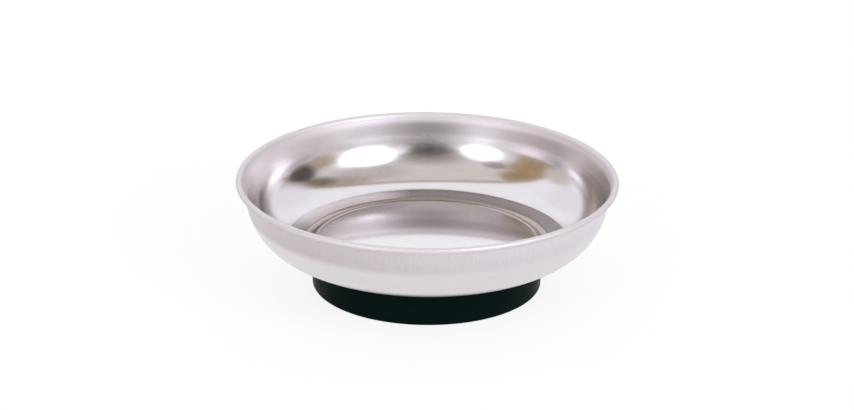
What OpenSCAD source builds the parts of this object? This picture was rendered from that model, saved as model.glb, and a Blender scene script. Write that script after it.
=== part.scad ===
// Magnetic parts tray: a drawn steel dish on a round magnet base with a rubber boot.
// All lengths are millimetres. The origin is the centre of the boot's underside, +Z is up.

/* [Dish] */
// Diameter over the rolled rim
rim_d = 150; // [140:1:170]
// Depth from the top of the rim to the flat disc
bowl_depth = 26.7; // [24:0.1:32]
// Thickness of the drawn sheet
sheet_t = 0.5; // [0.4:0.1:0.8]
// Diameter over the curl of the rim
curl_d = 2.8; // [2.4:0.1:4]
// Angle through which the rim is curled
curl_turn = 285; // [240:5:290]
// Lean of the wall away from upright
wall_lean = 13; // [8:1:16]
// Inside radius of the bend between wall and floor
bend_r = 22.5; // [18:0.5:24]

/* [Dish floor] */
// Width of the wall and the bend, from the outside of the rim in to the crease
flare_w = 19.1; // [16:0.1:22]
// Width of the floor, from the crease in to its lowest line
floor_w = 6.9; // [4:0.1:10]
// Width of the slope from the lowest line up to the flat disc
slope_w = 5.6; // [3:0.1:8]
// Rise of the flat disc above the lowest line
disc_rise = 0.45; // [0.3:0.05:0.8]
// Rise of the crease above the lowest line
crease_rise = 0.4; // [0.2:0.05:0.8]

/* [Ring magnet] */
// Bore of the magnet
magnet_bore_d = 32; // [26:1:44]
// Height of the magnet
magnet_h = 12; // [10:0.5:18]
// Chamfer on the edges of the magnet
magnet_chamfer = 0.6; // [0.3:0.1:1]

/* [Potting] */
// Width of the resin between the magnet and the cup's skirt
potting_w = 1.4; // [1:0.1:2.5]
// Thickness of the resin film over the magnet
potting_film = 0.3; // [0.2:0.05:0.6]
// Height by which the resin stops short of the cup's edge
potting_recess = 0.5; // [0.2:0.1:2]

/* [Magnet cup] */
// Thickness of the cup's sheet
cup_t = 1.5; // [1.2:0.1:2]
// Outside radius of the cup's shoulder
shoulder_r = 4; // [3.2:0.1:4.5]

/* [Rubber boot] */
// Thickness of the boot's floor
boot_floor = 3; // [2:0.1:5]
// Thickness of the boot's wall
boot_wall = 2; // [1.5:0.1:3]
// Radius of the boot's lower edge
boot_edge_r = 1.2; // [0.5:0.1:1.8]
// Reach of the boot's lip over the cup's shoulder
lip_reach = 1; // [0.5:0.1:1.3]

/* [Fastening] */
// Thread diameter of the stud
stud_d = 6; // [5:0.5:6]
// Diameter of the stud's welding flange
flange_d = 7.5; // [7:0.1:9]
// Thickness of the stud's welding flange
flange_t = 1; // [0.6:0.1:1.2]
// Length of the stud past the nut
stud_past = 1.5; // [1:0.1:1.9]
// Outside diameter of the flat washer
washer_d = 18; // [14:0.5:24]
// Thickness of the flat washer
washer_t = 1.6; // [1:0.1:1.8]
// Outside diameter of the lock washer
lock_d = 11.8; // [10.5:0.1:13]
// Thickness of the lock washer
lock_t = 1.6; // [1.2:0.1:1.8]
// Width of the lock washer's slit
lock_slit = 1; // [0.5:0.1:2]
// Width of the nut across its flats
nut_w = 10; // [9:0.5:11]
// Height of the nut
nut_h = 5; // [4:0.1:5.2]

/* [Hidden] */

$fn = 128;

// Cuts run past the faces they open by this much
overrun = 1;
// Clearance of the disc's underside round the cup
disc_fit = 0.5;
// Clearance of the boot round the cup
boot_fit = 0.1;
// Gap left between the resin and the round faces beside it
bond_gap = 0.05;
// Setback of the resin film from the magnet's bore
film_setback = 1;
// Clearance of the cup's hole round the stud's flange
hole_clear = 0.5;
// Clearance of the washers round the stud
washer_clear = 0.2;
// Clearance of the nut's thread round the stud
thread_clear = 0.05;
// Chamfer on the stud's tip and the nut's mouths
thread_chamfer = 0.6;
// Lean of the lock washer's slit and slope of the nut's corners
slit_lean = 20;
corner_slope = 30;
// Angles at which flats run into small rounds and the wall runs into the bend
join = 4;
bend_join = 1;
// Straight sides of a wedge and how far they run past the disc they cut
wedge_steps = 8;
wedge_reach_share = 2;

// Heights, stacked up from the bench
magnet_top = boot_floor + magnet_h;
web_under = magnet_top + potting_film;
cup_top = web_under + cup_t;
disc_top = cup_top + sheet_t;
groove_z = disc_top - disc_rise;
rim_top = disc_top + bowl_depth;
boot_top = groove_z - sheet_t;

// Radii, from the rim inwards: the cup nests under the disc, and the magnet fills the cup
rim_r = rim_d / 2;
crease_r = rim_r - flare_w;
groove_r = crease_r - floor_w;
disc_r = groove_r - slope_w;
cup_r = disc_r - disc_fit;
skirt_r = cup_r - cup_t;
magnet_r = skirt_r - potting_w;
boot_r = cup_r + boot_fit + boot_wall;
cup_h = cup_top - boot_floor;
inner_corner_r = min(shoulder_r - cup_t, potting_w);

// Fastening, stacked down from the cup's web
stud_r = stud_d / 2;
hole_r = flange_d / 2 + hole_clear;
washer_z = web_under - washer_t;
lock_z = washer_z - lock_t;
nut_z = lock_z - nut_h;
stud_end = nut_z - stud_past;
nut_corner_r = nut_w / 2 / cos(180 / 6);

// Dish section: the wall hangs from the curl and meets the crease through one bend
curl_r = curl_d / 2;
curl_c = [rim_r - curl_r, rim_top - curl_r];
crease = [crease_r, groove_z + crease_rise];
groove = [groove_r, groove_z];
wall_in = [-cos(wall_lean), sin(wall_lean)];
wall_down = [-sin(wall_lean), -cos(wall_lean)];
wall_top = curl_c + curl_r * cos(join) * wall_in;
bend_off = bend_r * cos(bend_join);
span = wall_top - crease;
wall_l = -span * wall_down - sqrt(bend_r ^ 2 - (span * wall_in + bend_off) ^ 2);
bend_c = wall_top + wall_l * wall_down + bend_off * wall_in;
tuck_angle = (join + acos((curl_r * cos(join) - sheet_t) / (curl_r - sheet_t))) / 2;
reach = rim_d;

function polar(r, angle) = r * [cos(angle), sin(angle)];

// Part of a disc between two angles
module disc_sector(r, from, to) {
    far = r * wedge_reach_share;
    steps = [for (i = [0:wedge_steps]) from + (to - from) * i / wedge_steps];
    intersection() {
        circle(r);
        polygon(concat([[0, 0]], [for (angle = steps) polar(far, angle)]));
    }
}

// Half section of a drum whose upper edge is rounded
module drum_section(r, h, edge_r) {
    c = [r, h] - edge_r * cos(join) * [1, 1];
    intersection() {
        square([r, h]);
        union() {
            translate(c) circle(edge_r);
            polygon([
                [-overrun, -overrun],
                [r + overrun, -overrun],
                [r + overrun, c[1]],
                c,
                [c[0], h + overrun],
                [-overrun, h + overrun],
            ]);
        }
    }
}

// Half section of the space that the dish holds, with its skin moved out by a thickness
module bowl_section(grow, past) {
    joint = wall_top - grow * wall_in;
    brim = joint - past * wall_down;
    brim_in = brim + curl_d * wall_in;
    intersection() {
        polygon([joint + reach * wall_down, brim, brim_in, [0, brim_in[1]], [0, -reach]]);
        union() {
            translate(bend_c) circle(bend_r + grow);
            polygon([
                [0, 0],
                [bend_c[0], 0],
                bend_c,
                bend_c - reach * wall_in,
                bend_c - reach * (wall_in + wall_down),
                [0, reach],
            ]);
        }
        translate([0, -grow]) polygon([
            [0, disc_top],
            [disc_r, disc_top],
            groove,
            groove + (crease - groove) * reach / floor_w,
            [reach, reach],
            [0, reach],
        ]);
    }
}

// Half section of the magnet, grown sideways by a gap
module magnet_section(gap) {
    inner = magnet_bore_d / 2 - gap;
    outer = magnet_r + gap;
    polygon([
        [inner + magnet_chamfer, boot_floor],
        [outer - magnet_chamfer, boot_floor],
        [outer, boot_floor + magnet_chamfer],
        [outer, magnet_top - magnet_chamfer],
        [outer - magnet_chamfer, magnet_top],
        [inner + magnet_chamfer, magnet_top],
        [inner, magnet_top - magnet_chamfer],
        [inner, boot_floor + magnet_chamfer],
    ]);
}

module dish() {
    curl_from = 180 - wall_lean;
    color([0.80, 0.78, 0.79]) rotate_extrude() difference() {
        union() {
            difference() {
                bowl_section(sheet_t, 0);
                bowl_section(0, overrun);
            }
            translate(curl_c) disc_sector(curl_r, curl_from + tuck_angle, curl_from - curl_turn);
        }
        translate(curl_c) circle(curl_r - sheet_t);
    }
}

module weld_stud() {
    color([0.70, 0.69, 0.68]) rotate_extrude() polygon([
        [0, stud_end],
        [stud_r - thread_chamfer, stud_end],
        [stud_r, stud_end + thread_chamfer],
        [stud_r, cup_top - flange_t],
        [flange_d / 2, cup_top - flange_t],
        [flange_d / 2, cup_top],
        [0, cup_top],
    ]);
}

module magnet_cup() {
    color([0.72, 0.73, 0.74]) rotate_extrude() translate([0, boot_floor]) difference() {
        drum_section(cup_r, cup_h, shoulder_r);
        translate([0, -overrun]) drum_section(skirt_r, cup_h - cup_t + overrun, inner_corner_r);
        square([hole_r, cup_h + overrun]);
    }
}

module ring_magnet() {
    color([0.17, 0.17, 0.18]) rotate_extrude() magnet_section(0);
}

module potting_ring() {
    base_z = boot_floor + potting_recess;
    color([0.72, 0.62, 0.40]) rotate_extrude() difference() {
        translate([0, base_z])
            drum_section(skirt_r - bond_gap, web_under - base_z, inner_corner_r - bond_gap);
        magnet_section(bond_gap);
        square([magnet_bore_d / 2 + film_setback, web_under + overrun]);
    }
}

// Flat ring round the stud
module washer(d, t) {
    difference() {
        cylinder(d = d, h = t);
        translate([0, 0, -overrun]) cylinder(r = stud_r + washer_clear, h = t + 2 * overrun);
    }
}

module flat_washer() {
    color([0.74, 0.75, 0.76]) translate([0, 0, washer_z]) washer(washer_d, washer_t);
}

module lock_washer() {
    slit_h = lock_t + 2 * overrun;
    color([0.66, 0.67, 0.69]) translate([0, 0, lock_z]) difference() {
        washer(lock_d, lock_t);
        translate([0, 0, lock_t / 2]) rotate([slit_lean, 0, 0])
            translate([0, -lock_slit / 2, -slit_h / 2]) cube([lock_d, lock_slit, slit_h]);
    }
}

module hex_nut() {
    corner_h = (nut_corner_r - nut_w / 2) * tan(corner_slope);
    bore_r = stud_r + thread_clear;
    color([0.74, 0.75, 0.76]) translate([0, 0, nut_z]) intersection() {
        cylinder(r = nut_corner_r, h = nut_h, $fn = 6);
        rotate_extrude() polygon([
            [bore_r + thread_chamfer, 0],
            [nut_w / 2, 0],
            [nut_corner_r, corner_h],
            [nut_corner_r, nut_h - corner_h],
            [nut_w / 2, nut_h],
            [bore_r + thread_chamfer, nut_h],
            [bore_r, nut_h - thread_chamfer],
            [bore_r, thread_chamfer],
        ]);
    }
}

module rubber_boot() {
    color([0.05, 0.06, 0.06]) rotate_extrude() difference() {
        translate([0, boot_top]) mirror([0, 1]) drum_section(boot_r, boot_top, boot_edge_r);
        translate([0, boot_floor]) drum_section(cup_r + boot_fit, cup_h + boot_fit, shoulder_r + boot_fit);
        translate([0, boot_floor]) square([cup_r - lip_reach, boot_top]);
    }
}

dish();
weld_stud();
magnet_cup();
ring_magnet();
potting_ring();
flat_washer();
lock_washer();
hex_nut();
rubber_boot();
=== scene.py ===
import math
import bpy
from mathutils import Matrix, Vector


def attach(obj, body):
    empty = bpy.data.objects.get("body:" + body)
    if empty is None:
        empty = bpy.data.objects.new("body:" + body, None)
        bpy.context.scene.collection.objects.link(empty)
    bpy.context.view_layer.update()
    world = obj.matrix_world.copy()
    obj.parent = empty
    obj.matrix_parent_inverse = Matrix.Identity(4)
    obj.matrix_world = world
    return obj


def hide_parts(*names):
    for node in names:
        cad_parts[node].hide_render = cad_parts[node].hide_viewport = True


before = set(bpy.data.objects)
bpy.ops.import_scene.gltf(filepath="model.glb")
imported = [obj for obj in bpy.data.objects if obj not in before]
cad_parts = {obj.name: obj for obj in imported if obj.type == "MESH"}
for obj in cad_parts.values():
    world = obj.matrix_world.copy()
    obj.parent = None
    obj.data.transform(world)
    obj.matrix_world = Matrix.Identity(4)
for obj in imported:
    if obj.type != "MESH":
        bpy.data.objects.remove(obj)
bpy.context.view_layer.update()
mm = 0.001
weldGap = 0.002 * mm
smoothAngle = math.radians(35)
print("frame loaded:", len(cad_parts), "nodes")


# small helpers for the modelling operators

def deselectAll():
    if bpy.context.object and bpy.context.object.mode != "OBJECT":
        bpy.ops.object.mode_set(mode="OBJECT")
    bpy.ops.object.select_all(action="DESELECT")


def startPoint(name, r, z):
    # a plane merged to one vertex, moved to the first point of a section
    deselectAll()
    bpy.ops.mesh.primitive_plane_add(size=mm)
    piece = bpy.context.object
    piece.name = piece.data.name = name
    bpy.ops.object.mode_set(mode="EDIT")
    bpy.ops.mesh.select_mode(type="VERT")
    bpy.ops.mesh.select_all(action="SELECT")
    bpy.ops.mesh.merge(type="CENTER")
    bpy.ops.transform.translate(value=(r * mm, 0, z * mm))
    return piece


def drawSection(points):
    # extrudes the selected vertex along the section, point after point
    for (r0, z0), (r1, z1) in zip(points, points[1:]):
        step = {"value": ((r1 - r0) * mm, 0, (z1 - z0) * mm)}
        bpy.ops.mesh.extrude_region_move(TRANSFORM_OT_translate=step)


def spinSection(steps):
    bpy.ops.mesh.select_all(action="SELECT")
    bpy.ops.mesh.spin(steps=steps, angle=2 * math.pi, center=(0, 0, 0), axis=(0, 0, 1))
    bpy.ops.mesh.select_all(action="SELECT")
    bpy.ops.mesh.remove_doubles(threshold=weldGap)
    bpy.ops.mesh.select_all(action="SELECT")
    bpy.ops.mesh.normals_make_consistent(inside=False)
    bpy.ops.object.mode_set(mode="OBJECT")


def arc(centre, radius, fromDeg, toDeg, count):
    turns = [math.radians(fromDeg + (toDeg - fromDeg) * i / count) for i in range(count + 1)]
    return [(centre[0] + radius * math.cos(a), centre[1] + radius * math.sin(a)) for a in turns]


def rounded(before, corner, after, radius, count):
    # points of a fillet between two straight runs
    c = Vector(corner)
    u = (Vector(before) - c).normalized()
    v = (Vector(after) - c).normalized()
    half = u.angle(v) / 2
    setback = radius / math.tan(half)
    middle = c + (u + v).normalized() * radius / math.sin(half)
    start, end = c + u * setback - middle, c + v * setback - middle
    out = []
    for i in range(count + 1):
        p = start.slerp(end, i / count)
        out.append(tuple(middle + p.normalized() * radius))
    return out


# dish: one drawn sheet, its middle line turned round the axis and given the sheet's thickness
dishSizes = {
    "rimR": 75.0, "rimTop": 44.0, "sheet": 0.5,
    "curlR": 1.2, "curlTurn": 285, "wallLean": 13, "flareR": 3.0, "flareLean": 38,
    # centre of the bend, and the degrees that its arc starts after the crease
    "bendR": 22.5, "bendR0": 48.098, "bendZ0": 38.354, "bendSkip": 1.2,
    "creaseR": 55.9, "creaseZ": 17.25, "creaseRound": 0.9,
    # from the disc's edge over two fine lines and a shallow slope to the foot of the floor ring
    "discEdge": [(43.3, 17.3), (43.6, 17.12), (44.05, 17.24), (44.55, 16.98), (44.95, 17.1),
                 (48.75, 16.72), (49.0, 16.76)],
    "edgeRound": 0.12,
    # the bead's finish covers what lies further out than this
    "beadReach": 72.95,
    # how finely each stretch is divided
    "steps": 240, "bendSteps": 40, "flareSteps": 8, "curlSteps": 30, "edgeSteps": 3, "creaseSteps": 6,
    "discRings": (0.15, 0.4, 0.7, 0.9, 0.97), "wallRings": (0.2, 0.4, 0.6, 0.8), "creaseTries": 20,
}


def makeDish(s):
    half = s["sheet"] / 2
    curlC = (s["rimR"] - s["curlR"], s["rimTop"] - s["curlR"])
    bendC = (s["bendR0"], s["bendZ0"])
    bendMid = s["bendR"] + half
    edge = [(r, z - half) for r, z in s["discEdge"]]
    disc, groove = edge[0], edge[-1]
    fall = (s["creaseZ"] - half - groove[1]) / (s["creaseR"] - groove[0])
    # where the floor's middle line runs into the bend
    creaseR = s["creaseR"]
    for attempt in range(s["creaseTries"]):
        z = groove[1] + (creaseR - groove[0]) * fall
        creaseR = bendC[0] + math.sqrt(bendMid ** 2 - (bendC[1] - z) ** 2)
    crease = (creaseR, groove[1] + (creaseR - groove[0]) * fall)
    creaseTurn = math.degrees(math.atan2(crease[1] - bendC[1], crease[0] - bendC[0]))
    bend = arc(bendC, bendMid, creaseTurn + s["bendSkip"], -s["wallLean"], s["bendSteps"])
    # the wall leans out further just before it rolls over into the curl
    wallTurn, flareTurn = 180 - s["wallLean"], 180 - s["flareLean"]
    curlMid, turn = s["curlR"] - half, math.radians(flareTurn)
    apart = s["flareR"] - curlMid
    flareC = (curlC[0] - apart * math.cos(turn), curlC[1] - apart * math.sin(turn))
    flare = arc(flareC, s["flareR"], wallTurn, flareTurn, s["flareSteps"])
    curl = flare[:-1] + arc(curlC, curlMid, flareTurn, wallTurn - s["curlTurn"], s["curlSteps"])
    section = [(0, disc[1])] + [(disc[0] * k, disc[1]) for k in s["discRings"]]
    edge = [(0, disc[1])] + edge + [crease]
    for before, corner, after in zip(edge, edge[1:], edge[2:]):
        section += rounded(before, corner, after, s["edgeRound"], s["edgeSteps"])
    section += [((groove[0] + crease[0]) / 2, (groove[1] + crease[1]) / 2)]
    section += rounded(groove, crease, bend[0], s["creaseRound"], s["creaseSteps"])
    section += bend
    wallTop, wallFoot = curl[0], bend[-1]
    run, rise = wallTop[0] - wallFoot[0], wallTop[1] - wallFoot[1]
    section += [(wallFoot[0] + run * k, wallFoot[1] + rise * k) for k in s["wallRings"]]
    section += curl

    piece = startPoint("drawnDish", *section[0])
    drawSection(section)
    spinSection(s["steps"])
    wall = piece.modifiers.new("sheet", "SOLIDIFY")
    wall.thickness = s["sheet"] * mm
    wall.offset = 0
    wall.use_even_offset = True
    bpy.ops.object.modifier_apply(modifier="sheet")
    bpy.ops.object.shade_smooth_by_angle(angle=smoothAngle)
    return piece, wallTop[1] * mm


# boot: moulded rubber cup with a lip over the shoulder of what it grips
bootSizes = {
    "outR": 45.0, "top": 16.35, "edgeRound": 1.2, "topRound": 0.5,
    "inR": 43.0, "floor": 3.0, "inChamfer": 0.4, "lipR": 41.9, "lipRound": 0.25,
    "shoulderR0": 38.9, "shoulderZ0": 12.8, "shoulderRound": 4.1,
    # rings of vertices between the corners
    "footRings": (14, 28, 38), "sideRings": (0.3, 0.6, 0.85), "inRing": 8, "floorRing": 20,
    "steps": 192, "roundSteps": 8, "topSteps": 6, "lipSteps": 3,
}


def makeBoot(s):
    lipAngle = math.degrees(math.acos((s["lipR"] - s["shoulderR0"]) / s["shoulderRound"]))
    shoulderC = (s["shoulderR0"], s["shoulderZ0"])
    shoulder = arc(shoulderC, s["shoulderRound"], lipAngle, 0, s["roundSteps"])
    foot, top, lip = (s["outR"], 0), (s["outR"], s["top"]), (s["lipR"], s["top"])
    section = [(0, 0)] + [(r, 0) for r in s["footRings"]]
    section += rounded(section[-1], foot, top, s["edgeRound"], s["roundSteps"])
    section += [(s["outR"], s["top"] * k) for k in s["sideRings"]]
    section += rounded(foot, top, lip, s["topRound"], s["topSteps"])
    section += rounded(top, lip, shoulder[0], s["lipRound"], s["lipSteps"])
    section += shoulder
    section += [(s["inR"], s["inRing"]), (s["inR"], s["floor"] + s["inChamfer"])]
    section += [(s["inR"] - s["inChamfer"], s["floor"]), (s["floorRing"], s["floor"]), (0, s["floor"])]
    piece = startPoint("mouldedBoot", *section[0])
    drawSection(section)
    spinSection(s["steps"])
    bpy.ops.object.shade_smooth_by_angle(angle=smoothAngle)
    return piece


# node helpers

def addNode(tree, kind, values=None, **settings):
    node = tree.nodes.new(kind)
    for key, value in settings.items():
        setattr(node, key, value)
    for key, value in (values or {}).items():
        node.inputs[key].default_value = value
    return node


def link(tree, source, target):
    tree.links.new(source, target)


def feed(tree, value, socket):
    # a number or a colour is set on the socket, an output is linked to it
    if isinstance(value, tuple):
        socket.default_value = (*value, 1)
    elif isinstance(value, (int, float)):
        socket.default_value = value
    else:
        link(tree, value, socket)


def newGroup(name, inputs, outputs):
    tree = bpy.data.node_groups.new(name, "ShaderNodeTree")
    kind = "NodeSocketFloat"
    for label, default in inputs.items():
        tree.interface.new_socket(label, in_out="INPUT", socket_type=kind).default_value = default
    for label in outputs:
        tree.interface.new_socket(label, in_out="OUTPUT", socket_type=kind)
    return tree, tree.nodes.new("NodeGroupOutput"), tree.nodes.new("NodeGroupInput")


def math2(tree, operation, a, b=0):
    node = addNode(tree, "ShaderNodeMath", operation=operation)
    feed(tree, a, node.inputs[0])
    feed(tree, b, node.inputs[1])
    return node.outputs[0]


def times(tree, a, b):
    return math2(tree, "MULTIPLY", a, b)


def makeTurnedGroup():
    # place on a turned piece: distance from the axis, height, and the cosine and sine of the angle
    tree, out = newGroup("turnedPlace", {}, ("Radius", "Height", "Cos", "Sin"))[:2]
    place = addNode(tree, "ShaderNodeTexCoord")
    split = addNode(tree, "ShaderNodeSeparateXYZ")
    link(tree, place.outputs["Object"], split.inputs[0])
    x, y, z = split.outputs
    radius = math2(tree, "SQRT", math2(tree, "ADD", times(tree, x, x), times(tree, y, y)))
    # keeps the division safe on the axis itself
    safe = math2(tree, "MAXIMUM", radius, 1e-5)
    link(tree, radius, out.inputs["Radius"])
    link(tree, z, out.inputs["Height"])
    link(tree, math2(tree, "DIVIDE", x, safe), out.inputs["Cos"])
    link(tree, math2(tree, "DIVIDE", y, safe), out.inputs["Sin"])
    return tree


turnedPlace = makeTurnedGroup()


def placeOn(tree):
    return addNode(tree, "ShaderNodeGroup", node_tree=turnedPlace).outputs


def makeLineGroup():
    # marks that run round the piece or up its wall, as stretched noise
    inputs = {"Fine": 4000.0, "Round": 2.0, "Detail": 3.0}
    tree, out, given = newGroup("toolLines", inputs, ("Value",))
    fine, around, detail = (given.outputs[label] for label in inputs)
    place = placeOn(tree)
    join = addNode(tree, "ShaderNodeCombineXYZ")
    noise = addNode(tree, "ShaderNodeTexNoise", {"Scale": 1.0, "Roughness": 0.6}, noise_dimensions="4D")
    link(tree, times(tree, place["Radius"], fine), join.inputs[0])
    link(tree, times(tree, place["Height"], fine), join.inputs[1])
    link(tree, times(tree, place["Cos"], around), join.inputs[2])
    link(tree, times(tree, place["Sin"], around), noise.inputs["W"])
    link(tree, join.outputs[0], noise.inputs["Vector"])
    link(tree, detail, noise.inputs["Detail"])
    link(tree, noise.outputs[0], out.inputs["Value"])
    return tree


toolLines = makeLineGroup()


def marksOn(tree, fine, around, detail):
    values = {"Fine": fine, "Round": around, "Detail": detail}
    return addNode(tree, "ShaderNodeGroup", values, node_tree=toolLines).outputs[0]


def makeSpeckleGroup():
    # even grain in all directions
    tree, out, given = newGroup("speckle", {"Scale": 1000.0, "Detail": 2.0}, ("Value",))
    noise = addNode(tree, "ShaderNodeTexNoise")
    link(tree, addNode(tree, "ShaderNodeTexCoord").outputs["Object"], noise.inputs["Vector"])
    for label in ("Scale", "Detail"):
        link(tree, given.outputs[label], noise.inputs[label])
    link(tree, noise.outputs[0], out.inputs["Value"])
    return tree


speckle = makeSpeckleGroup()


def grainOn(tree, scale, detail):
    values = {"Scale": scale, "Detail": detail}
    return addNode(tree, "ShaderNodeGroup", values, node_tree=speckle).outputs[0]


def newMaterial(name, metallic=0.0):
    material = bpy.data.materials.new(name)
    material.use_nodes = True
    tree = material.node_tree
    shader = tree.nodes["Principled BSDF"]
    shader.inputs["Metallic"].default_value = metallic
    return material, tree, shader


def spread(tree, source, fromLow, fromHigh, toLow, toHigh, kind="LINEAR"):
    values = {1: fromLow, 2: fromHigh, 3: toLow, 4: toHigh}
    node = addNode(tree, "ShaderNodeMapRange", values, interpolation_type=kind)
    link(tree, source, node.inputs[0])
    return node.outputs[0]


def ramp(tree, source, start, full):
    # mask that goes smoothly from 0 to 1
    return spread(tree, source, start, full, 0, 1, "SMOOTHSTEP")


def vary(tree, noise, low, high):
    # noise mostly lies between 0.3 and 0.7
    return spread(tree, noise, 0.3, 0.7, low, high)


def blendValue(tree, factor, low, high):
    # a value that goes from low to high with a mask
    node = addNode(tree, "ShaderNodeMix", data_type="FLOAT")
    for index, value in ((0, factor), (2, low), (3, high)):
        feed(tree, value, node.inputs[index])
    return node.outputs[0]


def blendColour(tree, factor, first, second, kind="MIX"):
    node = addNode(tree, "ShaderNodeMix", data_type="RGBA", blend_type=kind)
    for index, value in ((0, factor), (6, first), (7, second)):
        feed(tree, value, node.inputs[index])
    return node.outputs[2]


def setRough(tree, shader, noise, rough, low=0.85, high=1.15):
    link(tree, times(tree, vary(tree, noise, low, high), rough), shader.inputs["Roughness"])


def setBump(tree, shader, height, distance):
    node = addNode(tree, "ShaderNodeBump", {"Strength": 1.0, "Distance": distance})
    link(tree, height, node.inputs["Height"])
    link(tree, node.outputs["Normal"], shader.inputs["Normal"])


# marks and lines are given as fineness, changes round the piece and detail
insideFinish = {
    "colour": (0.65, 0.628, 0.648), "colourLow": (0.60, 0.58, 0.597),
    "lines": (1500.0, 3.0, 2.0), "broad": (500.0, 6.0, 2.0), "marks": (90.0, 110.0, 1.0),
    "lineDepth": 0.00000025,
    # zones: radii where slope and bend start, heights where wall, painted side light and shade, and top
    # start
    "slopeFrom": (0.0430, 0.0436), "bendFrom": (0.0500, 0.0550),
    "wallFrom": (0.0280, 0.0380), "paintedSidesFrom": (0.0260, 0.0330), "topFrom": (0.0388, 0.0422),
    "discRough": 0.07, "slopeRough": 0.10, "bendRough": 0.135, "wallRough": 0.30, "topRough": 0.6,
    "topColour": (0.76, 0.733, 0.765),
    # fine haze: the size of its specks, its edge in the noise, and how much more of it each zone has
    "speck": (8000.0, 1.0), "hazeEdge": (0.48, 0.58), "hazeRough": 0.5,
    "hazeDisc": -0.2, "hazeSlope": -0.13, "hazeWall": 0.01,
    # painted shade rings: from radius, to radius, shade; the shade is full over this share of the width
    "paintedGrooveShade": [(43.3, 43.85, (0.55, 0.48, 0.42)), (43.9, 46.2, (0.50, 0.43, 0.38)),
               (45.9, 49.3, (0.94, 0.83, 0.73)), (48.6, 49.1, (0.72, 0.65, 0.59))],
    "grooveShadeShare": 0.6,
    # painted light and shade on the sides: cosine where it starts, cosine where it is full, shade
    "paintedSides": [(-0.87, -0.97, (1.42, 1.41, 1.41)), (0.70, 0.95, (0.77, 0.75, 0.70))],
    # painted shade band below the rim: its ends as cosines, its lower and upper edge as heights
    "paintedRimShade": (0.76, 0.74, 0.745),
    "rimShadeLeft": (-0.55, -0.35), "rimShadeRight": (0.90, 0.72),
    "rimShadeLow": (0.0345, 0.0370), "rimShadeHigh": (0.0418, 0.0395),
}


def makeInsideSteel(f):
    material, tree, shader = newMaterial("insideSteel", 1.0)
    lines, broad, marks = (marksOn(tree, *f[key]) for key in ("lines", "broad", "marks"))
    place = placeOn(tree)
    radius, height, around = place["Radius"], place["Height"], place["Cos"]
    # zones from the middle outwards: disc, slope, bend, wall, top
    slope = ramp(tree, radius, *f["slopeFrom"])
    bend = ramp(tree, radius, *f["bendFrom"])
    wall = ramp(tree, height, *f["wallFrom"])
    top = ramp(tree, height, *f["topFrom"])
    grain = blendValue(tree, wall, broad, marks)
    colour = blendColour(tree, grain, f["colourLow"], f["colour"])
    # painted shade: the slope is painted warmer and darker, and dark lines are painted into the fine lines
    # at the disc's edge and the ring's foot
    for low, high, shade in f["paintedGrooveShade"]:
        middle, half = (low + high) / 2 * mm, (high - low) / 2 * mm
        away = math2(tree, "ABSOLUTE", math2(tree, "SUBTRACT", radius, middle))
        near = ramp(tree, away, half, half * f["grooveShadeShare"])
        colour = blendColour(tree, near, colour, shade, "MULTIPLY")
    # painted light and shade: the wall is painted lighter on the left and darker on the right
    paintedSidesHeight = ramp(tree, height, *f["paintedSidesFrom"])
    for start, full, shade in f["paintedSides"]:
        reach = times(tree, ramp(tree, around, start, full), paintedSidesHeight)
        colour = blendColour(tree, reach, colour, shade, "MULTIPLY")
    colour = blendColour(tree, top, colour, f["topColour"])
    # painted shade: a darker band below the rim, at the back and on the right
    across = times(tree, ramp(tree, around, *f["rimShadeLeft"]), ramp(tree, around, *f["rimShadeRight"]))
    upright = times(tree, ramp(tree, height, *f["rimShadeLow"]), ramp(tree, height, *f["rimShadeHigh"]))
    colour = blendColour(tree, times(tree, across, upright), colour, f["paintedRimShade"], "MULTIPLY")
    link(tree, colour, shader.inputs["Base Color"])
    rough = blendValue(tree, slope, f["discRough"], f["slopeRough"])
    rough = blendValue(tree, bend, rough, f["bendRough"])
    rough = blendValue(tree, wall, rough, f["wallRough"])
    rough = blendValue(tree, top, rough, f["topRough"])
    rough = times(tree, rough, vary(tree, lines, 0.95, 1.05))
    # specks of the sheet are duller than the polish between them
    clean = blendValue(tree, slope, f["hazeDisc"], f["hazeSlope"])
    cover = math2(tree, "ADD", grainOn(tree, *f["speck"]), blendValue(tree, wall, clean, f["hazeWall"]))
    haze = ramp(tree, cover, *f["hazeEdge"])
    link(tree, blendValue(tree, haze, rough, f["hazeRough"]), shader.inputs["Roughness"])
    setBump(tree, shader, times(tree, lines, math2(tree, "SUBTRACT", 1, wall)), f["lineDepth"])
    return material


bandFinish = {
    # painted shade gives the ring its dark colours, and painted light its bright side
    "paintedDark": (0.385, 0.355, 0.345), "paintedDarkLow": (0.345, 0.315, 0.305), "bright": (0.97, 0.94, 0.97),
    "brightTurn": 132, "paintedBrightFrom": (0.80, 0.97),
    "rough": 0.24, "marks": (500.0, 220.0, 1.0), "grain": 0.0000004,
}


def makeBandSteel(f):
    # floor ring between crease and groove: painted shade makes it dark, with fine marks across it, and
    # painted light makes one side bright
    material, tree, shader = newMaterial("bandSteel", 1.0)
    marks = marksOn(tree, *f["marks"])
    place = placeOn(tree)
    turn = math.radians(f["brightTurn"])
    facing = math2(tree, "ADD", times(tree, place["Cos"], math.cos(turn)),
                   times(tree, place["Sin"], math.sin(turn)))
    paintedDark = blendColour(tree, marks, f["paintedDarkLow"], f["paintedDark"])
    paintedBrightMask = ramp(tree, facing, *f["paintedBrightFrom"])
    link(tree, blendColour(tree, paintedBrightMask, paintedDark, f["bright"]), shader.inputs["Base Color"])
    setRough(tree, shader, marks, f["rough"], 0.9, 1.1)
    setBump(tree, shader, marks, f["grain"])
    return material


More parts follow.
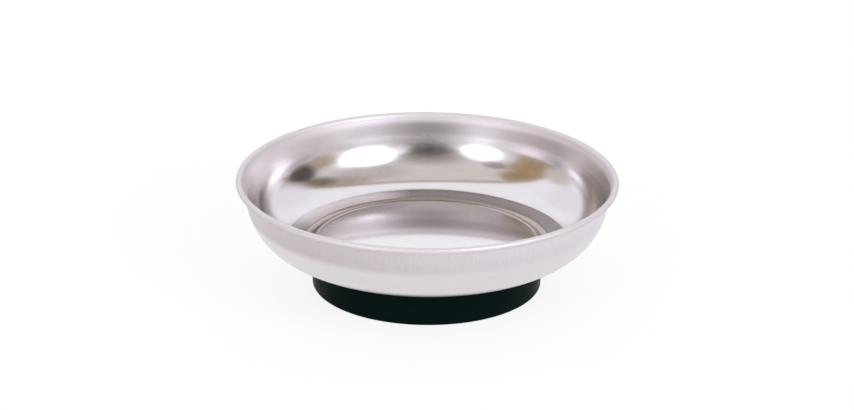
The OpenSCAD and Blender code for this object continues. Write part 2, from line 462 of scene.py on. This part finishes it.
outsideFinish = {
    # painted light and shade: colours of the drawn wall, darker on the left and lighter on the right, and
    # where the change runs as cosines
    "left": (0.61, 0.55, 0.57), "right": (0.73, 0.70, 0.745), "paintedSideFrom": (-0.75, 0.65),
    "marks": (260.0, 150.0, 2.0), "markShade": (0.95, 0.945, 0.945), "markEdge": (0.35, 0.65),
    # height where the marks end, how unevenly, and how far they fade above and below it
    "marksEnd": 0.0312, "uneven": 0.0005, "fadeAbove": 0.0018, "fadeBelow": 0.0014,
    # the darker strip at the end of the marks, as heights above that end
    "footShade": (0.965, 0.96, 0.96), "footTop": 0.007, "footFull": 0.0025,
    # painted light: the polished bend's colours are lighter than the drawn wall's
    "paintedLitPolish": (0.765, 0.73, 0.765), "paintedLitPolishLow": (0.68, 0.65, 0.68),
    "rough": 0.32, "lines": (800.0, 2.5, 3.0), "lineDepth": 0.000002,
}


def makeOutsideSteel(f):
    material, tree, shader = newMaterial("outsideSteel", 1.0)
    place = placeOn(tree)
    height, end = place["Height"], f["marksEnd"]
    lines, marks = marksOn(tree, *f["lines"]), marksOn(tree, *f["marks"])
    # short draw marks run down the wall and fade out above the polished bend, which is painted lighter as
    # painted light
    ragged = math2(tree, "ADD", height, vary(tree, marks, -f["uneven"], f["uneven"]))
    low = ramp(tree, ragged, end + f["fadeAbove"], end - f["fadeBelow"])
    # painted light and shade: the drawn wall is painted darker on the left and lighter on the right
    side = ramp(tree, place["Cos"], *f["paintedSideFrom"])
    drawn = blendColour(tree, side, f["left"], f["right"])
    shade = blendColour(tree, ramp(tree, marks, *f["markEdge"]), f["markShade"], (1, 1, 1))
    drawn = blendColour(tree, 1.0, drawn, shade, "MULTIPLY")
    foot = ramp(tree, height, end + f["footTop"], end + f["footFull"])
    drawn = blendColour(tree, foot, drawn, f["footShade"], "MULTIPLY")
    paintedLitPolish = blendColour(tree, lines, f["paintedLitPolishLow"], f["paintedLitPolish"])
    link(tree, blendColour(tree, low, drawn, paintedLitPolish), shader.inputs["Base Color"])
    setRough(tree, shader, blendValue(tree, low, marks, lines), f["rough"])
    setBump(tree, shader, times(tree, lines, low), f["lineDepth"])
    return material


beadFinish = {
    "colour": (0.75, 0.724, 0.755), "colourLow": (0.69, 0.666, 0.695), "edgeTint": (0.42, 0.40, 0.42),
    "rough": 0.6, "marks": (900.0, 40.0, 3.0),
}


def makeBeadSteel(f):
    material, tree, shader = newMaterial("beadSteel", 1.0)
    feed(tree, f["edgeTint"], shader.inputs["Specular Tint"])
    marks = marksOn(tree, *f["marks"])
    link(tree, blendColour(tree, marks, f["colourLow"], f["colour"]), shader.inputs["Base Color"])
    setRough(tree, shader, marks, f["rough"])
    return material


rubberFinish = {
    "colour": (0.0016, 0.006, 0.006), "colourLow": (0.003, 0.009, 0.009), "rough": 0.36, "gloss": 0.015,
    "cloud": 90.0, "grain": 2200.0, "grainDepth": 0.00001,
}
ferriteFinish = {
    "colour": (0.045, 0.044, 0.046), "colourLow": (0.028, 0.027, 0.028), "rough": 0.55, "gloss": 0.4,
    "cloud": 260.0, "grain": 3000.0, "grainDepth": 0.00002,
}
resinFinish = {
    "colour": (0.46, 0.33, 0.125), "colourLow": (0.36, 0.245, 0.085), "rough": 0.2, "gloss": 0.5,
    "cloud": 70.0, "grain": 350.0, "grainDepth": 0.00003,
}


def makeMoulded(name, f):
    # rubber, ferrite and resin: cloudy colour, fine grain in the skin
    material, tree, shader = newMaterial(name)
    shader.inputs["Specular IOR Level"].default_value = f["gloss"]
    cloud = grainOn(tree, f["cloud"], 4.0)
    link(tree, blendColour(tree, cloud, f["colourLow"], f["colour"]), shader.inputs["Base Color"])
    setRough(tree, shader, cloud, f["rough"])
    setBump(tree, shader, grainOn(tree, f["grain"], 3.0), f["grainDepth"])
    return material


studFinish = {
    "colour": (0.50, 0.47, 0.45), "colourLow": (0.38, 0.35, 0.33), "rough": 0.38,
    "lines": (2500.0, 2.0, 2.0), "spangle": 900.0, "lineDepth": 0.000006,
}
cupFinish = {
    "colour": (0.62, 0.62, 0.61), "colourLow": (0.52, 0.52, 0.515), "rough": 0.3,
    "lines": (900.0, 3.0, 2.0), "spangle": 400.0, "lineDepth": 0.000004,
}
zincFinish = {
    "colour": (0.62, 0.64, 0.67), "colourLow": (0.50, 0.515, 0.53), "rough": 0.27,
    "lines": (1800.0, 6.0, 2.0), "spangle": 700.0, "lineDepth": 0.000003,
}
springFinish = {
    "colour": (0.46, 0.47, 0.49), "colourLow": (0.35, 0.36, 0.375), "rough": 0.36,
    "lines": (3000.0, 3.0, 2.0), "spangle": 1200.0, "lineDepth": 0.000004,
}


def makeTurnedSteel(name, f):
    # the small steel parts in the base: a slight spangle over turning lines
    material, tree, shader = newMaterial(name, 1.0)
    spangle = grainOn(tree, f["spangle"], 3.0)
    link(tree, blendColour(tree, spangle, f["colourLow"], f["colour"]), shader.inputs["Base Color"])
    setRough(tree, shader, spangle, f["rough"], 0.85, 1.2)
    setBump(tree, shader, marksOn(tree, *f["lines"]), f["lineDepth"])
    return material


# the parts inside the base keep their CAD shape and get their own finish
zincSteel = makeTurnedSteel("zincSteel", zincFinish)
innerFinish = {
    "weld_stud": makeTurnedSteel("studSteel", studFinish),
    "magnet_cup": makeTurnedSteel("cupSteel", cupFinish),
    "ring_magnet": makeMoulded("ferrite", ferriteFinish),
    "potting_ring": makeMoulded("pottingResin", resinFinish),
    "flat_washer": zincSteel,
    "lock_washer": makeTurnedSteel("springSteel", springFinish),
    "hex_nut": zincSteel,
}
for node, material in innerFinish.items():
    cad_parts[node].data.materials.clear()
    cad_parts[node].data.materials.append(material)
print("inner parts:", len(innerFinish), "finishes set")

dish, beadFoot = makeDish(dishSizes)
dishFinishes = (
    (makeInsideSteel, insideFinish), (makeOutsideSteel, outsideFinish),
    (makeBeadSteel, beadFinish), (makeBandSteel, bandFinish),
)
for maker, finish in dishFinishes:
    dish.data.materials.append(maker(finish))
insideFace, outsideFace, beadFace, bandFace = range(len(dishFinishes))
grooveR = dishSizes["discEdge"][-1][0]
for face in dish.data.polygons:
    reach = math.hypot(face.center.x, face.center.y) / mm
    if face.center.z > beadFoot or reach > dishSizes["beadReach"]:
        face.material_index = beadFace
    elif face.normal.z < 0:
        face.material_index = outsideFace
    elif grooveR < reach < dishSizes["creaseR"]:
        face.material_index = bandFace
    else:
        face.material_index = insideFace
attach(dish, "root")
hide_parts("dish")
print("dish:", len(dish.data.polygons), "faces")

boot = makeBoot(bootSizes)
boot.data.materials.append(makeMoulded("bootRubber", rubberFinish))
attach(boot, "root")
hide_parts("rubber_boot")
print("boot:", len(boot.data.polygons), "faces")


# studio: pale floor, two soft boxes, and a pale room with the light and dark things that the steel mirrors
studio = {
    "floorSize": 8.0, "floorColour": (0.93, 0.93, 0.93), "floorRough": 0.9, "floorGloss": 0.1,
    "floorWhite": 0.85,
    "lampColour": (1.0, 0.99, 1.05), "lampCentre": (0, 0, 0.03),
    "softBoxes": [
        # name, azimuth from the camera side towards +X, elevation, distance, width, height, radiance
        ("rightBox", 43, 29.5, 2.0, 1.14, 1.34, 3.7),
        ("leftBox", -36.5, 21, 2.0, 0.76, 0.80, 4.2),
    ],
    "patches": [
        # azimuth, elevation, inner and outer half angle, colour; later ones lie over earlier ones
        (43, 27, 16, 28, (0.95, 1.0, 1.06)),
        (43, 34, 17, 22, (1.7, 1.68, 1.75)),
        (33, 48, 6, 13, (0.82, 0.79, 0.82)),
        (-36.5, 19, 12, 26, (0.95, 0.98, 1.03)),
        (-36.5, 24, 11, 16, (1.9, 1.87, 1.95)),
        (44, 2, 8, 17, (0.70, 0.68, 0.72)),
        (-46, 2, 7, 15, (0.72, 0.69, 0.73)),
        (6, 5, 9, 22, (0.56, 0.48, 0.48)),
        (0, 30, 0, 32, (0.40, 0.35, 0.32)),
        (0, 23, 0, 20, (0.11, 0.09, 0.09)),
        (17, 18, 2, 8, (0.95, 0.91, 0.94)),
        (21, 26, 3, 9, (1.3, 1.26, 1.31)),
        (-20, 17, 1, 7, (0.92, 0.89, 0.94)),
        (-75, 14, 9, 17, (0.50, 0.36, 0.22)),
        (-75, 30, 8, 16, (0.52, 0.36, 0.18)),
        (-53, 40, 4, 9, (0.46, 0.39, 0.40)),
        (75, 15, 8, 15, (0.57, 0.45, 0.31)),
        (91, 13, 3, 10, (0.24, 0.18, 0.16)),
        (103, 29, 2, 9, (0.24, 0.18, 0.17)),
        (96, 22, 8, 15, (0.08, 0.05, 0.05)),
        (62, 58, 10, 24, (0.74, 0.67, 0.64)),
        (96, 58, 5, 14, (0.60, 0.50, 0.43)),
        (100, 43, 6, 13, (0.25, 0.20, 0.14)),
        (-82, 46, 7, 14, (0.45, 0.32, 0.16)),
        (-171, 5, 80, 84.5, (0.52, 0.39, 0.25)),
        (-171, 5, 76, 80, (1.30, 1.30, 1.34)),
        (180, 53, 7, 13, (0.25, 0.24, 0.13)),
        (110, 30, 3, 10, (0.48, 0.41, 0.38)),
        (114, 19, 2, 7, (0.78, 0.71, 0.71)),
        (-98, 17, 2, 16, (0.88, 0.79, 0.72)),
        (-125, 30, 8, 20, (1.19, 1.16, 1.20)),
        (125, 30, 8, 20, (1.19, 1.17, 1.22)),
        (84, 1, 3, 8, (3.2, 3.15, 3.25)),
        (-86, 3, 3, 9, (0.35, 0.30, 0.25)),
    ],
    "base": (0.94, 0.88, 0.83),
}


def direction(azimuth, elevation):
    a, e = math.radians(azimuth), math.radians(elevation)
    return Vector((math.sin(a) * math.cos(e), -math.cos(a) * math.cos(e), math.sin(e)))


def makeWorld(s):
    world = bpy.data.worlds.new("studio")
    bpy.context.scene.world = world
    world.use_nodes = True
    tree = world.node_tree
    place = addNode(tree, "ShaderNodeTexCoord")
    colour = s["base"]
    for azimuth, elevation, inner, outer, shade in s["patches"]:
        towards = {1: direction(azimuth, elevation)}
        dot = addNode(tree, "ShaderNodeVectorMath", towards, operation="DOT_PRODUCT")
        link(tree, place.outputs["Generated"], dot.inputs[0])
        edges = [math.cos(math.radians(angle)) for angle in (outer, inner)]
        colour = blendColour(tree, ramp(tree, dot.outputs["Value"], *edges), colour, shade)
    # the camera itself sees plain white
    path = addNode(tree, "ShaderNodeLightPath")
    shown = blendColour(tree, path.outputs["Is Camera Ray"], colour, (1, 1, 1))
    link(tree, shown, tree.nodes["Background"].inputs["Color"])


def makeFloor(s):
    deselectAll()
    bpy.ops.mesh.primitive_plane_add(size=s["floorSize"], location=(0, 0, 0))
    floor = bpy.context.object
    floor.name = "paleFloor"
    material, tree, shader = newMaterial("paleFloor")
    feed(tree, s["floorColour"], shader.inputs["Base Color"])
    shader.inputs["Roughness"].default_value = s["floorRough"]
    shader.inputs["Specular IOR Level"].default_value = s["floorGloss"]
    white = addNode(tree, "ShaderNodeEmission", {"Color": (1, 1, 1, 1), "Strength": 1.0})
    path = addNode(tree, "ShaderNodeLightPath").outputs
    mirrored = math2(tree, "MAXIMUM", path["Is Glossy Ray"], path["Is Transmission Ray"])
    seen = math2(tree, "MAXIMUM", path["Is Camera Ray"], mirrored)
    # mostly white where it is seen or mirrored, and the rest keeps the shadow
    mix = addNode(tree, "ShaderNodeMixShader")
    link(tree, times(tree, seen, s["floorWhite"]), mix.inputs[0])
    link(tree, shader.outputs[0], mix.inputs[1])
    link(tree, white.outputs[0], mix.inputs[2])
    # clear from below, so that the underside can be looked at
    under = addNode(tree, "ShaderNodeMixShader")
    link(tree, addNode(tree, "ShaderNodeNewGeometry").outputs["Backfacing"], under.inputs[0])
    link(tree, mix.outputs[0], under.inputs[1])
    link(tree, addNode(tree, "ShaderNodeBsdfTransparent").outputs[0], under.inputs[2])
    link(tree, under.outputs[0], tree.nodes["Material Output"].inputs["Surface"])
    floor.data.materials.append(material)


def makeSoftBox(s, name, azimuth, elevation, distance, width, height, radiance):
    light = bpy.data.lights.new(name, "AREA")
    light.shape = "ELLIPSE"
    light.color = s["lampColour"]
    light.size, light.size_y = width, height
    light.energy = radiance * math.pi * width * height * math.pi / 4
    lamp = bpy.data.objects.new(name, light)
    lamp.location = direction(azimuth, elevation) * distance + Vector(s["lampCentre"])
    lamp.rotation_euler = direction(azimuth, elevation).to_track_quat("Z", "Y").to_euler()
    bpy.context.scene.collection.objects.link(lamp)


cameraSet = {
    "elevation": 21.12, "distance": 1.8, "focalPixels": 4598.0, "roll": 0.45, "sensor": 36,
    "rimCentre": (427.35, 177.72), "imageSize": (854, 410), "target": (0, 0, 0.044),
}


def makeCamera(s):
    lens = bpy.data.cameras.new("photoCamera")
    camera = bpy.data.objects.new("photoCamera", lens)
    bpy.context.scene.collection.objects.link(camera)
    wide, high = s["imageSize"]
    lens.sensor_width = s["sensor"]
    lens.lens = s["focalPixels"] / wide * lens.sensor_width
    spot = Vector(s["target"]) + direction(0, s["elevation"]) * s["distance"]
    # turned so that the rim's centre lands on its place in the picture
    across = (s["rimCentre"][0] - wide / 2) / s["focalPixels"]
    up = (high / 2 - s["rimCentre"][1]) / s["focalPixels"]
    turn = Matrix.Rotation(math.radians(90 - s["elevation"]), 4, "X")
    aim = Matrix.Rotation(-math.atan(up), 4, "X") @ Matrix.Rotation(math.atan(across), 4, "Y")
    roll = Matrix.Rotation(math.radians(s["roll"]), 4, "Z")
    camera.matrix_world = Matrix.Translation(spot) @ turn @ roll @ aim
    bpy.context.scene.camera = camera


makeCamera(cameraSet)
makeWorld(studio)
makeFloor(studio)
for box in studio["softBoxes"]:
    makeSoftBox(studio, *box)
bpy.context.scene.view_settings.view_transform = "Standard"
print("studio and camera ready")
